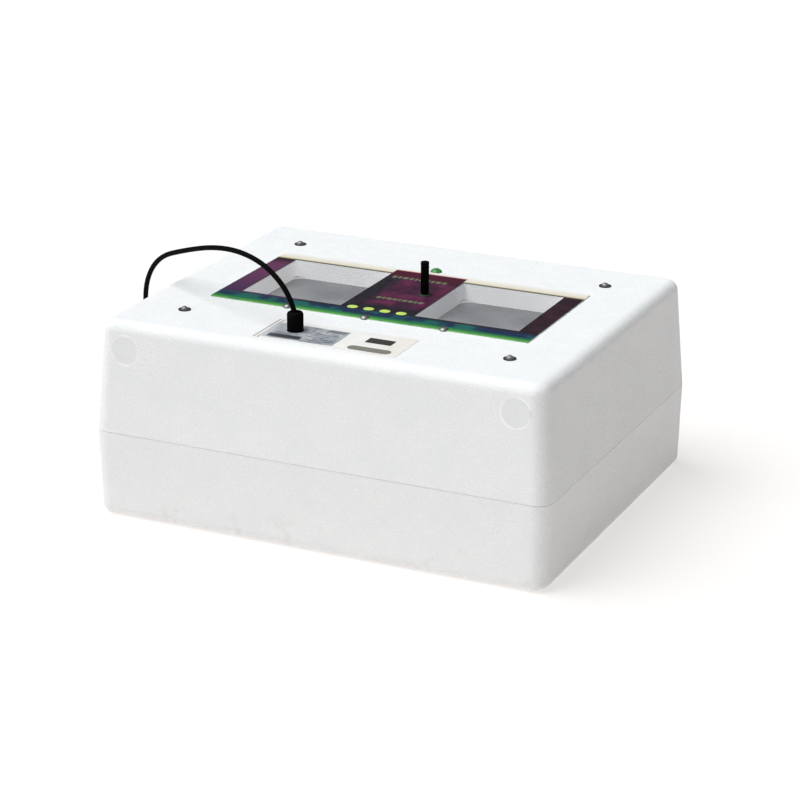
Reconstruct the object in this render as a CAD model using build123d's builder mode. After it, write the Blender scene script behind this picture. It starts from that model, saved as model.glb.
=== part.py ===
"""Tabletop egg incubator: a foam tub and lift-off foam lid with two windows.

Millimetres. The origin is the centre of the footprint on the table, +Z is up and the front
of the incubator faces -Y.
"""

import os
from math import asin, cos, pi, radians, sin

from build123d import *

# ---------------------------------------------------------------- driving dimensions
WIDTH = 560
DEPTH = 452
PARTING_Z = 102
HEIGHT = 234
BASE_DRAFT = 2
LID_DRAFT = 9
CORNER_R = 18
TOP_EDGE_R = 13
BOTTOM_EDGE_R = 11
PARTING_GAP = 0.4

CHAMBER_W = 500
CHAMBER_D = 392
CHAMBER_R = 16
FLOOR_Z = 24
LEDGE_W = 12
LEDGE_Z = 38
LID_SKIN = 24
CEILING_Z = HEIGHT - LID_SKIN

TONGUE_W = 9
TONGUE_H = 6
TONGUE_CLEARANCE = 0.6

TROUGH_DEPTH = 12
OUTER_TROUGH = (460, 352)
OUTER_TROUGH_ISLAND = (380, 272)
INNER_TROUGH = (260, 150)
REST_SPAN = (160, 105)
REST_R = 13
VENT_R = 6
VENT_X = 160
VENT_Z = 70

MOULD_RING_R = 18
MOULD_RING_W = 1.3
MOULD_RING_DEPTH = 0.6
MOULD_RING_X = 238.6
MOULD_RING_Z = 201.6

# lid top: windows and the printed sheet over them
PANEL_W = 398
PANEL_FRONT_Y = -89.5
PANEL_BACK_Y = 104
PANEL_T = 1.0
PRINT_T = 0.3
WINDOW_X = (46, 175)
WINDOW_Y = (-57, 84)
WINDOW_LIP_Z = 214
WINDOW_LIP_R = 14
PANE_REBATE = 7
PANE_T = 1.5
PANE_GAP = 0.5
LABEL_T = 0.3

# fixings in the lid top
HOLE_CLEARANCE = 0.2
THREAD_CLEARANCE = 0.05
PANEL_SCREW_SPACING = 98
PANEL_SCREW_Y = -86.5
PANEL_SCREW_SHIFT = -1.5
SCREW_R = 1.75
SCREW_LENGTH = 18
SCREW_HEAD_R = 5.7
SCREW_HEAD_H = 3
RECESS_W = 0.9
RECESS_DEPTH = 1.1
CORNER_BOLT_X = 201
CORNER_BOLT_Y = 146
BOLT_R = 2
BOLT_LENGTH = 48
BOLT_HEAD_R = 4.4
BOLT_HEAD_H = 3.5
WASHER_R = 7.3
WASHER_T = 1
NUT_AF = 7
NUT_H = 3

# heater loop strung round four insulators under the lid
INSULATOR_R = 8
INSULATOR_FLANGE_R = 12
INSULATOR_RIM_T = 2
INSULATOR_H = 18
HEATER_WIRE_R = 1.5
HEATER_GAP = 0.1
HEATER_Z = 200.5

# thermostat
STEM_X = 25
STEM_Y = 20
STEM_R = 3
GRIP_R = 4.9
GRIP_SOCKET = 12
GRIP_FLUTES = 12
GRIP_FLUTE_R = 0.7
STEM_TOP_Z = HEIGHT + 41.6
GRIP_BOTTOM_Z = 237.7
RUNNING_GAP = 0.06
BUSH_R = 5.5
BUSH_TAIL = 6
BUSH_FLANGE_R = 8.5
BUSH_FLANGE_H = 1.2
BUSH_NUT_AF = 16
WAFER_R = 30
WAFER_T = 10
WAFER_Z = 178
HUB_R = 6
HUB_H = 9
STEM_END_GAP = 2
HUB_SEAT = 1.7
BRACKET_HALF = 37
BRACKET_W = 20
BRACKET_T = 1.5
BRACKET_Z = 156.5
BRACKET_CORNER_R = 4
SWITCH_SIZE = (10, 28, 16)
SWITCH_SCREW_R = 1.3
SWITCH_SCREW_SPACING = 18
SWITCH_SCREW_LENGTH = 7
PLUNGER_R = 1.6
PLUNGER_LENGTH = 6
PLUNGER_BORE = 5
PLUNGER_TOP_Z = 176.4

# pilot lamp
LAMP_X = -2
LAMP_Y = 113
LAMP_R = 5
LAMP_TAIL = 4
LENS_R = 7
LENS_H = 4.5
LENS_RIM_H = 1

# mains lead
BOOT_X = -52
BOOT_Y = -160
BOOT_R = 9.3
BOOT_H = 23
BOOT_GROOVES = 18
BOOT_TOP_R = 3.6
GLAND_R = 6
CORD_R = 3
MOUTH_TOP_R = 5.6
MOUTH_FOOT_R = 3.8
CORD_LENGTH = 1800
CORD_ROUTE = [
    (-52, -160, 252),
    (-58, -159, 274),
    (-89, -152, 301),
    (-131, -135, 309),
    (-180, -110, 302),
    (-233, -82, 284),
    (-287, -56, 262),
    (-319, -35, 217),
    (-326, -18, 154),
    (-322, -6, 96),
    (-315, 6, 48),
    (-308, 26, 13),
    (-305.5, 50, 3.2),
    (-305, 70, 3.1),
]
COIL_X = -342
COIL_Y = 100
COIL_MEAN_R = 31
COIL_BAND = 18.4
COIL_H = 12.2
TAIL_Z = 9
PLUG_SIZE = (24, 26, 18)
RELIEF_LENGTH = 24
PLUG_GROOVES = 3
PLUG_GROOVE_PITCH = 5
BLADE_SIZE = (1.6, 17, 6.4)
BLADE_SPACING = 12.7

# wiring under the lid
TERMINAL_SIZE = (40, 20, 17.5)
TERMINAL_TOP_Z = 209.5
SWITCH_LEAD_R = 0.9
SWITCH_LEAD_SPLIT = 2.5
LAMP_LEAD_R = 0.8
LAMP_LEAD_SPLIT = 2

# wire floor and thermometer
FLOOR_WIRE = 2
FLOOR_PITCH = 24.6
FLOOR_CELLS = (20, 14)
FLOOR_BODY_GAP = 0.3
CARD_CENTRE = (-60, -130)
CARD_SIZE = (120, 24)
CARD_T = 1.5
TUBE_R = 2.5
TUBE_LENGTH = 104
TUBE_LIFT = 2.6

pieces = []


def keep(builder, label):
    """Label a finished piece and queue it for export."""
    builder.part.label = label
    pieces.append(builder.part)


def signed_corners(x, y):
    """The four points at plus and minus x and y."""
    return [(sx * x, sy * y) for sx in (-1, 1) for sy in (-1, 1)]


# ---------------------------------------------------------------- foam tub
def make_base_shell():
    """Foam tub with two side ledges, water troughs, air holes and the tongue the lid sits over."""
    with BuildPart() as base:
        with BuildSketch(Plane.XY):
            RectangleRounded(WIDTH - 2 * BASE_DRAFT, DEPTH - 2 * BASE_DRAFT, CORNER_R)
        with BuildSketch(Plane.XY.offset(PARTING_Z)):
            RectangleRounded(WIDTH, DEPTH, CORNER_R)
        loft()
        fillet(base.edges().group_by(Axis.Z)[0], BOTTOM_EDGE_R)
        # tongue that the lid's rebate drops over
        with BuildSketch(Plane.XY.offset(PARTING_Z)):
            RectangleRounded(CHAMBER_W + 2 * TONGUE_W, CHAMBER_D + 2 * TONGUE_W, CHAMBER_R + TONGUE_W)
        extrude(amount=TONGUE_H)
        # chamber above the ledges, then the well between them
        with BuildSketch(Plane.XY.offset(LEDGE_Z)):
            RectangleRounded(CHAMBER_W, CHAMBER_D, CHAMBER_R)
        extrude(amount=HEIGHT, mode=Mode.SUBTRACT)
        with BuildSketch(Plane.XY.offset(FLOOR_Z)):
            RectangleRounded(CHAMBER_W - 2 * LEDGE_W, CHAMBER_D, CHAMBER_R)
        extrude(amount=HEIGHT, mode=Mode.SUBTRACT)
        # water troughs sunk in the floor
        with BuildSketch(Plane.XY.offset(FLOOR_Z)):
            RectangleRounded(*OUTER_TROUGH, CHAMBER_R)
            RectangleRounded(*OUTER_TROUGH_ISLAND, CHAMBER_R, mode=Mode.SUBTRACT)
            RectangleRounded(*INNER_TROUGH, CHAMBER_R)
        extrude(amount=-TROUGH_DEPTH, mode=Mode.SUBTRACT)
        # posts that hold up the middle of the wire floor
        with BuildSketch(Plane.XY.offset(FLOOR_Z)):
            with Locations((REST_SPAN[0], 0), (-REST_SPAN[0], 0), (0, REST_SPAN[1]), (0, -REST_SPAN[1])):
                Circle(REST_R)
        extrude(amount=LEDGE_Z - FLOOR_Z)
        # fresh-air holes through the back wall
        with BuildSketch(Plane(origin=(0, DEPTH / 2, VENT_Z), x_dir=(1, 0, 0), z_dir=(0, -1, 0))):
            with GridLocations(2 * VENT_X, 0, 2, 1):
                Circle(VENT_R)
        extrude(amount=(DEPTH - CHAMBER_D) / 2, mode=Mode.SUBTRACT)
    keep(base, "base_shell")


# ---------------------------------------------------------------- foam lid
def window_centre(side):
    """Centre of the window on the given side (-1 left, 1 right)."""
    return (side * sum(WINDOW_X) / 2, sum(WINDOW_Y) / 2)


def window_size(grow=0):
    """Width and depth of a window opening, grown by the same margin all round."""
    return (WINDOW_X[1] - WINDOW_X[0] + 2 * grow, WINDOW_Y[1] - WINDOW_Y[0] + 2 * grow)


def lid_face_plane(facing, x, z):
    """A plane on the lid's drafted front (-1) or back (1) face at the given x and height."""
    rise = HEIGHT - PARTING_Z
    y = DEPTH / 2 - LID_DRAFT * (z - PARTING_Z) / rise
    return Plane(origin=(x, facing * y, z), x_dir=(1, 0, 0), z_dir=(0, facing * rise, LID_DRAFT))


def make_lid_shell():
    """Foam lid with two window openings, a rebate for the tongue and holes for what it carries."""
    bottom_z = PARTING_Z + PARTING_GAP
    with BuildPart() as lid:
        with BuildSketch(Plane.XY.offset(bottom_z)):
            RectangleRounded(WIDTH, DEPTH, CORNER_R)
        with BuildSketch(Plane.XY.offset(HEIGHT)):
            RectangleRounded(WIDTH - 2 * LID_DRAFT, DEPTH - 2 * LID_DRAFT, CORNER_R)
        loft()
        fillet(lid.edges().group_by(Axis.Z)[-1], TOP_EDGE_R)
        with BuildSketch(Plane.XY.offset(bottom_z)):
            RectangleRounded(CHAMBER_W, CHAMBER_D, CHAMBER_R)
        extrude(amount=CEILING_Z - bottom_z, mode=Mode.SUBTRACT)
        rebate = TONGUE_W + TONGUE_CLEARANCE
        with BuildSketch(Plane.XY.offset(bottom_z)):
            RectangleRounded(CHAMBER_W + 2 * rebate, CHAMBER_D + 2 * rebate, CHAMBER_R + rebate)
        extrude(amount=TONGUE_H + TONGUE_CLEARANCE, mode=Mode.SUBTRACT)
        # windows, with a rebate below each for the inner pane
        for side in (-1, 1):
            with BuildSketch(Plane.XY.offset(WINDOW_LIP_Z)):
                with Locations(window_centre(side)):
                    Rectangle(*window_size())
            extrude(amount=HEIGHT - WINDOW_LIP_Z, mode=Mode.SUBTRACT)
            with BuildSketch(Plane.XY.offset(CEILING_Z)):
                with Locations(window_centre(side)):
                    RectangleRounded(*window_size(), WINDOW_LIP_R)
            extrude(amount=LID_SKIN, mode=Mode.SUBTRACT)
            with BuildSketch(Plane.XY.offset(CEILING_Z)):
                with Locations(window_centre(side)):
                    RectangleRounded(*window_size(PANE_REBATE), PANE_REBATE)
            extrude(amount=PANE_T + PANE_GAP, mode=Mode.SUBTRACT)
        # clearance holes for bolts, panel screws, gland, bush and lamp
        with BuildSketch(Plane.XY.offset(CEILING_Z)):
            with Locations(*signed_corners(CORNER_BOLT_X, CORNER_BOLT_Y)):
                Circle(BOLT_R + HOLE_CLEARANCE)
            with Locations((BOOT_X, BOOT_Y)):
                Circle(GLAND_R + HOLE_CLEARANCE)
            with Locations((STEM_X, STEM_Y)):
                Circle(BUSH_R + HOLE_CLEARANCE)
            with Locations((LAMP_X, LAMP_Y)):
                Circle(LAMP_R + HOLE_CLEARANCE)
        extrude(amount=LID_SKIN, mode=Mode.SUBTRACT)
        with BuildSketch(Plane.XY.offset(HEIGHT)):
            with Locations(*panel_screw_places()):
                Circle(SCREW_R + THREAD_CLEARANCE)
        extrude(amount=-SCREW_LENGTH, mode=Mode.SUBTRACT)
        # faint rings left by the mould in the front and back faces
        for facing in (-1, 1):
            for side in (-1, 1):
                with BuildSketch(lid_face_plane(facing, side * MOULD_RING_X, MOULD_RING_Z)):
                    Circle(MOULD_RING_R)
                    Circle(MOULD_RING_R - MOULD_RING_W, mode=Mode.SUBTRACT)
                extrude(amount=-MOULD_RING_DEPTH, mode=Mode.SUBTRACT)
    keep(lid, "lid_shell")


# ---------------------------------------------------------------- windows and printed sheet
def panel_screw_places():
    """Centres of the three screws along the panel's front edge."""
    return [(PANEL_SCREW_SHIFT + i * PANEL_SCREW_SPACING, PANEL_SCREW_Y) for i in (-1, 0, 1)]


def make_sheet(label, bottom_z, thickness, window_holes):
    """A flat sheet over both windows, pierced for the screws and the thermostat stem."""
    with BuildPart() as sheet:
        with BuildSketch(Plane.XY.offset(bottom_z)):
            with Locations((0, (PANEL_FRONT_Y + PANEL_BACK_Y) / 2)):
                RectangleRounded(PANEL_W, PANEL_BACK_Y - PANEL_FRONT_Y, 2)
            with Locations(*panel_screw_places()):
                Circle(SCREW_R + THREAD_CLEARANCE, mode=Mode.SUBTRACT)
            with Locations((STEM_X, STEM_Y)):
                Circle(BUSH_R + HOLE_CLEARANCE, mode=Mode.SUBTRACT)
            if window_holes:
                for side in (-1, 1):
                    with Locations(window_centre(side)):
                        Rectangle(*window_size(), mode=Mode.SUBTRACT)
        extrude(amount=thickness)
    keep(sheet, label)


def make_inner_panes():
    """Inner glazing, one pane in the rebate under each window."""
    for side, name in ((-1, "left"), (1, "right")):
        with BuildPart() as pane:
            with BuildSketch(Plane.XY.offset(CEILING_Z + PANE_GAP)):
                with Locations(window_centre(side)):
                    RectangleRounded(*window_size(PANE_REBATE - PANE_GAP), PANE_REBATE - PANE_GAP)
            extrude(amount=PANE_T)
        keep(pane, name + "_inner_pane")


def dome_middle(radius, height):
    """The point half-way along a spherical dome's half outline, from its rim to its top."""
    sphere_r = (radius**2 + height**2) / (2 * height)
    half_angle = asin(radius / sphere_r) / 2
    return (sphere_r * sin(half_angle), height - sphere_r + sphere_r * cos(half_angle))


def dome_screw(head_r, head_h, shank_r, shank_length):
    """A cross-recessed dome-headed screw whose head stands on z = 0, to be added elsewhere."""
    with BuildPart() as screw:
        with BuildSketch(Plane.XZ):
            with BuildLine():
                Polyline((0, head_h), (0, -shank_length), (shank_r, -shank_length), (shank_r, 0), (head_r, 0))
                ThreePointArc((head_r, 0), dome_middle(head_r, head_h), (0, head_h))
            make_face()
        revolve(axis=Axis.Z)
        with BuildSketch(Plane.XY.offset(head_h)):
            Rectangle(head_r, RECESS_W)
            Rectangle(RECESS_W, head_r)
        extrude(amount=-RECESS_DEPTH, mode=Mode.SUBTRACT)
    return screw.part


def make_panel_screws():
    """Three dome-headed screws that hold the front edge of the panel."""
    screw = dome_screw(SCREW_HEAD_R, SCREW_HEAD_H, SCREW_R, SCREW_LENGTH)
    head_z = HEIGHT + PANEL_T + PRINT_T
    with BuildPart() as screws:
        with Locations(*[(x, y, head_z) for x, y in panel_screw_places()]):
            add(screw)
    keep(screws, "panel_screws")


# ---------------------------------------------------------------- corner bolts and heater
def make_corner_bolts():
    """Four dome-headed bolts through the lid, each with a washer on top and a nut below."""
    bolt = dome_screw(BOLT_HEAD_R, BOLT_HEAD_H, BOLT_R, BOLT_LENGTH)
    with BuildPart() as bolts:
        with Locations((0, 0, HEIGHT + WASHER_T)):
            with Locations(*signed_corners(CORNER_BOLT_X, CORNER_BOLT_Y)):
                add(bolt)
    keep(bolts, "corner_bolts")
    with BuildPart() as washers:
        with BuildSketch(Plane.XY.offset(HEIGHT)):
            with Locations(*signed_corners(CORNER_BOLT_X, CORNER_BOLT_Y)):
                Circle(WASHER_R)
                Circle(BOLT_R + HOLE_CLEARANCE, mode=Mode.SUBTRACT)
        extrude(amount=WASHER_T)
    keep(washers, "corner_washers")
    with BuildPart() as nuts:
        with BuildSketch(Plane.XY.offset(CEILING_Z - INSULATOR_H - NUT_H)):
            with Locations(*signed_corners(CORNER_BOLT_X, CORNER_BOLT_Y)):
                RegularPolygon(NUT_AF / 2, 6, major_radius=False)
                Circle(BOLT_R + THREAD_CLEARANCE, mode=Mode.SUBTRACT)
        extrude(amount=NUT_H)
    keep(nuts, "corner_nuts")


def wire(points, radius, bend):
    """A round wire along straight runs with equal bends, as a part to be added elsewhere."""
    with BuildPart() as one_wire:
        with BuildLine() as path:
            FilletPolyline(*points, radius=bend)
        with BuildSketch(Plane(origin=path.line @ 0, z_dir=path.line % 0)):
            Circle(radius)
        sweep()
    return one_wire.part


def make_heater_insulators():
    """Ceramic bobbins under the lid that the heater wire is strung round."""
    top = INSULATOR_H
    bore_r = BOLT_R + HOLE_CLEARANCE
    with BuildPart() as bobbin:
        with BuildSketch(Plane.XZ):
            with BuildLine():
                Polyline(
                    (bore_r, 0),
                    (INSULATOR_FLANGE_R, 0),
                    (INSULATOR_FLANGE_R, INSULATOR_RIM_T),
                    (INSULATOR_R, 2 * INSULATOR_RIM_T),
                    (INSULATOR_R, top - 2 * INSULATOR_RIM_T),
                    (INSULATOR_FLANGE_R, top - INSULATOR_RIM_T),
                    (INSULATOR_FLANGE_R, top),
                    (bore_r, top),
                    close=True,
                )
            make_face()
        revolve(axis=Axis.Z)
    with BuildPart() as insulators:
        with Locations((0, 0, CEILING_Z - top)):
            with Locations(*signed_corners(CORNER_BOLT_X, CORNER_BOLT_Y)):
                add(bobbin.part)
    keep(insulators, "heater_insulators")


def make_heater_wire():
    """One length of sleeved heating wire from terminal to terminal, round all four bobbins."""
    bend_r = INSULATOR_R + HEATER_WIRE_R + HEATER_GAP
    x = CORNER_BOLT_X + bend_r
    y = CORNER_BOLT_Y + bend_r
    start_x = BOOT_X + TERMINAL_SIZE[0] / 2
    end_x = BOOT_X - TERMINAL_SIZE[0] / 2
    outline = [(start_x, -y), (x, -y), (x, y), (-x, y), (-x, -y), (end_x, -y)]
    with BuildPart() as heater:
        add(wire([(*point, HEATER_Z) for point in outline], HEATER_WIRE_R, bend_r))
    keep(heater, "heater_wire")


# ---------------------------------------------------------------- thermostat
def make_stem_bush():
    """Flanged bush through the lid that the thermostat stem turns in, and its nut below."""
    with BuildPart() as bush:
        with Locations((STEM_X, STEM_Y, CEILING_Z - BUSH_TAIL)):
            Cylinder(BUSH_R, LID_SKIN + BUSH_TAIL, align=(Align.CENTER, Align.CENTER, Align.MIN))
        with Locations((STEM_X, STEM_Y, HEIGHT + PANEL_T + PRINT_T)):
            Cylinder(BUSH_FLANGE_R, BUSH_FLANGE_H, align=(Align.CENTER, Align.CENTER, Align.MIN))
        with Locations((STEM_X, STEM_Y, HEIGHT)):
            Cylinder(BUSH_R, PANEL_T + PRINT_T, align=(Align.CENTER, Align.CENTER, Align.MIN))
        chamfer(bush.edges().group_by(Axis.Z)[-1], BUSH_FLANGE_H / 2)
        with Locations((STEM_X, STEM_Y, HEIGHT)):
            Hole(STEM_R + RUNNING_GAP)
    keep(bush, "stem_bush")
    with BuildPart() as nut:
        with BuildSketch(Plane.XY.offset(CEILING_Z - BUSH_TAIL)):
            with Locations((STEM_X, STEM_Y)):
                RegularPolygon(BUSH_NUT_AF / 2, 6, major_radius=False)
                Circle(BUSH_R + THREAD_CLEARANCE, mode=Mode.SUBTRACT)
        extrude(amount=BUSH_TAIL - BRACKET_T - THREAD_CLEARANCE)
    keep(nut, "bush_nut")


def make_stem():
    """Threaded stem and the black grip that is turned by hand."""
    rod_bottom = WAFER_Z + WAFER_T + STEM_END_GAP
    rod_top = STEM_TOP_Z - GRIP_SOCKET
    with BuildPart() as rod:
        with Locations((STEM_X, STEM_Y, rod_bottom)):
            Cylinder(STEM_R, rod_top - rod_bottom, align=(Align.CENTER, Align.CENTER, Align.MIN))
    keep(rod, "stem_rod")
    with BuildPart() as grip:
        with Locations((STEM_X, STEM_Y, GRIP_BOTTOM_Z)):
            Cylinder(GRIP_R, STEM_TOP_Z - GRIP_BOTTOM_Z, align=(Align.CENTER, Align.CENTER, Align.MIN))
        fillet(grip.edges().group_by(Axis.Z)[-1], 0.7)
        # flutes that give the fingers something to turn
        with BuildSketch(Plane.XY.offset(GRIP_BOTTOM_Z)):
            with Locations((STEM_X, STEM_Y)):
                with PolarLocations(GRIP_R + GRIP_FLUTE_R / 2, GRIP_FLUTES):
                    Circle(GRIP_FLUTE_R)
        extrude(amount=STEM_TOP_Z - GRIP_BOTTOM_Z - GRIP_R, mode=Mode.SUBTRACT)
        with BuildSketch(Plane.XY.offset(GRIP_BOTTOM_Z)):
            with Locations((STEM_X, STEM_Y)):
                Circle(STEM_R)
        extrude(amount=rod_top - GRIP_BOTTOM_Z, mode=Mode.SUBTRACT)
    keep(grip, "stem_grip")


def make_wafer():
    """Thin-walled capsule that swells with heat, and the brass hub the stem turns in."""
    half = WAFER_T / 2
    with BuildPart() as disc:
        with BuildSketch(Plane(origin=(STEM_X, STEM_Y, WAFER_Z), x_dir=(1, 0, 0), z_dir=(0, -1, 0))):
            with BuildLine():
                Polyline((0, WAFER_T), (0, 0), (8, 0))
                Spline((8, 0), (15, 1.4), (20, 1.0), (26, 2.8))
                Polyline((26, 2.8), (WAFER_R, half - 1), (WAFER_R, half + 1), (26, WAFER_T - 2.8))
                Spline((26, WAFER_T - 2.8), (20, WAFER_T - 1.0), (15, WAFER_T - 1.4), (8, WAFER_T))
                Line((8, WAFER_T), (0, WAFER_T))
            make_face()
        revolve(axis=Axis((STEM_X, STEM_Y, 0), (0, 0, 1)))
    keep(disc, "wafer_disc")
    with BuildPart() as hub:
        with Locations((STEM_X, STEM_Y, WAFER_Z + WAFER_T)):
            Cylinder(HUB_R, HUB_H, align=(Align.CENTER, Align.CENTER, Align.MIN))
        with BuildSketch(Plane.XY.offset(WAFER_Z + WAFER_T + HUB_SEAT)):
            with Locations((STEM_X, STEM_Y)):
                Circle(STEM_R + RUNNING_GAP)
        extrude(amount=HUB_H, mode=Mode.SUBTRACT)
    keep(hub, "wafer_hub")


def make_switch():
    """Bracket under the lid, and the snap switch on it that the wafer presses."""
    frame_h = CEILING_Z - BRACKET_Z
    with BuildPart() as bracket:
        with BuildSketch(Plane(origin=(STEM_X, STEM_Y, BRACKET_Z), x_dir=(0, 1, 0), z_dir=(1, 0, 0))):
            with Locations((0, frame_h / 2)):
                RectangleRounded(2 * BRACKET_HALF, frame_h, BRACKET_CORNER_R)
                offset(amount=-BRACKET_T, mode=Mode.SUBTRACT)
        extrude(amount=BRACKET_W / 2, both=True)
        with BuildSketch(Plane.XY.offset(CEILING_Z)):
            with Locations((STEM_X, STEM_Y)):
                Circle(BUSH_R + HOLE_CLEARANCE)
        extrude(amount=-2 * BRACKET_T, mode=Mode.SUBTRACT)
        with BuildSketch(Plane.XY.offset(BRACKET_Z)):
            with Locations((STEM_X, STEM_Y)):
                with GridLocations(0, SWITCH_SCREW_SPACING, 1, 2):
                    Circle(SWITCH_SCREW_R + HOLE_CLEARANCE)
        extrude(amount=BRACKET_T, mode=Mode.SUBTRACT)
    keep(bracket, "switch_bracket")
    switch_z = BRACKET_Z + BRACKET_T
    with BuildPart() as switch:
        with Locations((STEM_X, STEM_Y, switch_z)):
            Box(*SWITCH_SIZE, align=(Align.CENTER, Align.CENTER, Align.MIN))
        fillet(switch.edges().filter_by(Axis.Z), 1)
        with BuildSketch(Plane.XY.offset(switch_z + SWITCH_SIZE[2])):
            with Locations((STEM_X, STEM_Y)):
                Circle(PLUNGER_R + RUNNING_GAP)
        extrude(amount=-PLUNGER_BORE, mode=Mode.SUBTRACT)
        with BuildSketch(Plane.XY.offset(switch_z)):
            with Locations((STEM_X, STEM_Y)):
                with GridLocations(0, SWITCH_SCREW_SPACING, 1, 2):
                    Circle(SWITCH_SCREW_R + THREAD_CLEARANCE)
        extrude(amount=SWITCH_SCREW_LENGTH, mode=Mode.SUBTRACT)
    keep(switch, "switch_body")
    screw = dome_screw(2 * SWITCH_SCREW_R, 1.4 * SWITCH_SCREW_R, SWITCH_SCREW_R, SWITCH_SCREW_LENGTH)
    with BuildPart() as screws:
        with Locations(Location((STEM_X, STEM_Y, BRACKET_Z), (180, 0, 0))):
            with GridLocations(0, SWITCH_SCREW_SPACING, 1, 2):
                add(screw)
    keep(screws, "switch_screws")
    with BuildPart() as plunger:
        with Locations((STEM_X, STEM_Y, PLUNGER_TOP_Z)):
            Cylinder(PLUNGER_R, PLUNGER_LENGTH, align=(Align.CENTER, Align.CENTER, Align.MAX))
        fillet(plunger.edges().group_by(Axis.Z)[-1], 0.5)
    keep(plunger, "switch_plunger")


# ---------------------------------------------------------------- pilot lamp and wiring
def make_lamp():
    """Green pilot lamp: a domed lens on top of the lid and its body through the foam."""
    with BuildPart() as body:
        with Locations((LAMP_X, LAMP_Y, CEILING_Z - LAMP_TAIL)):
            Cylinder(LAMP_R, LID_SKIN + LAMP_TAIL, align=(Align.CENTER, Align.CENTER, Align.MIN))
    keep(body, "lamp_body")
    with BuildPart() as lens:
        with BuildSketch(Plane(origin=(LAMP_X, LAMP_Y, HEIGHT), x_dir=(1, 0, 0), z_dir=(0, -1, 0))):
            with BuildLine():
                dome_x, dome_z = dome_middle(LENS_R, LENS_H - LENS_RIM_H)
                Polyline((0, LENS_H), (0, 0), (LENS_R, 0), (LENS_R, LENS_RIM_H))
                ThreePointArc((LENS_R, LENS_RIM_H), (dome_x, LENS_RIM_H + dome_z), (0, LENS_H))
            make_face()
        revolve(axis=Axis((LAMP_X, LAMP_Y, 0), (0, 0, 1)))
    keep(lens, "lamp_lens")


def make_leads():
    """Internal wires from the terminal block to the switch and to the pilot lamp."""
    block_back = BOOT_Y + TERMINAL_SIZE[1] / 2
    switch_side = STEM_X - SWITCH_SIZE[0] / 2
    entry_y = STEM_Y - 6
    switch_wires = []
    for split in (-SWITCH_LEAD_SPLIT, SWITCH_LEAD_SPLIT):
        start_x = BOOT_X + 8 + split
        drop_x = STEM_X - WAFER_R - 6 + split
        entry_z = BRACKET_Z + 9 + split
        route = [
            (start_x, block_back, 202),
            (start_x, -70, 202),
            (drop_x, -30, 202),
            (drop_x, entry_y, 196),
            (drop_x, entry_y, entry_z),
            (switch_side, entry_y, entry_z),
        ]
        switch_wires.append(wire(route, SWITCH_LEAD_R, 5))
    with BuildPart() as switch_leads:
        add(switch_wires)
    keep(switch_leads, "switch_leads")
    lamp_wires = []
    for split in (-LAMP_LEAD_SPLIT, LAMP_LEAD_SPLIT):
        start_x = BOOT_X - 8 + split
        run_x = LAMP_X - 30 + split
        route = [
            (start_x, block_back, 207.2),
            (start_x, -110 + split, 207.2),
            (run_x, -80 + split, 207.2),
            (run_x, LAMP_Y - 20, 205),
            (LAMP_X + split, LAMP_Y, 200),
            (LAMP_X + split, LAMP_Y, CEILING_Z - LAMP_TAIL),
        ]
        lamp_wires.append(wire(route, LAMP_LEAD_R, 2))
    with BuildPart() as lamp_leads:
        add(lamp_wires)
    keep(lamp_leads, "lamp_leads")
    with BuildPart() as block:
        with Locations((BOOT_X, BOOT_Y, TERMINAL_TOP_Z)):
            Box(*TERMINAL_SIZE, align=(Align.CENTER, Align.CENTER, Align.MAX))
        fillet(block.edges().filter_by(Axis.Z), 2)
    keep(block, "terminal_block")


# ---------------------------------------------------------------- labels on the lid
def make_labels():
    """Plain stickers on the front of the lid top: three small ones on one large one."""
    top_of_large = HEIGHT + LABEL_T
    # centre, size, corner radius and the height it lies at
    stickers = {
        "instruction_label": ((0, -163.5), (174, 67), 1.0, HEIGHT),
        "rating_plate": ((-36, -166.5), (88, 51), 0.8, top_of_large),
        "label_strip": ((50.7, -155), (31.5, 16), 0.8, top_of_large),
        "oval_label": ((51, -185), (52, 13), 6.4, top_of_large),
    }
    for name, (centre, size, corner, z) in stickers.items():
        with BuildPart() as sticker:
            with BuildSketch(Plane.XY.offset(z)):
                with Locations(centre):
                    RectangleRounded(*size, corner)
                with Locations((BOOT_X, BOOT_Y)):
                    Circle(BOOT_R + HOLE_CLEARANCE, mode=Mode.SUBTRACT)
            extrude(amount=LABEL_T)
        keep(sticker, name)


# ---------------------------------------------------------------- wire floor and thermometer
def make_wire_floor():
    """Mesh floor for the eggs, short enough to pour water past its front and back, and a thermometer."""
    width = FLOOR_CELLS[0] * FLOOR_PITCH + FLOOR_WIRE
    depth = FLOOR_CELLS[1] * FLOOR_PITCH + FLOOR_WIRE
    floor_z = LEDGE_Z + FLOOR_BODY_GAP
    with BuildPart() as floor:
        with BuildSketch(Plane.XY.offset(floor_z)):
            Rectangle(width, depth)
            with GridLocations(FLOOR_PITCH, FLOOR_PITCH, *FLOOR_CELLS):
                Rectangle(FLOOR_PITCH - FLOOR_WIRE, FLOOR_PITCH - FLOOR_WIRE, mode=Mode.SUBTRACT)
        extrude(amount=FLOOR_WIRE)
    keep(floor, "wire_floor")
    card_z = floor_z + FLOOR_WIRE
    with BuildPart() as card:
        with BuildSketch(Plane.XY.offset(card_z)):
            with Locations(CARD_CENTRE):
                RectangleRounded(*CARD_SIZE, 4)
        extrude(amount=CARD_T)
    keep(card, "thermometer_card")
    tube_start = (CARD_CENTRE[0] - TUBE_LENGTH / 2, CARD_CENTRE[1], card_z + CARD_T + TUBE_LIFT)
    with BuildPart() as tube:
        with BuildSketch(Plane(origin=tube_start, z_dir=(1, 0, 0))):
            Circle(TUBE_R)
        extrude(amount=TUBE_LENGTH)
        fillet(tube.edges(), 0.8 * TUBE_R)
    keep(tube, "thermometer_tube")


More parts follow.
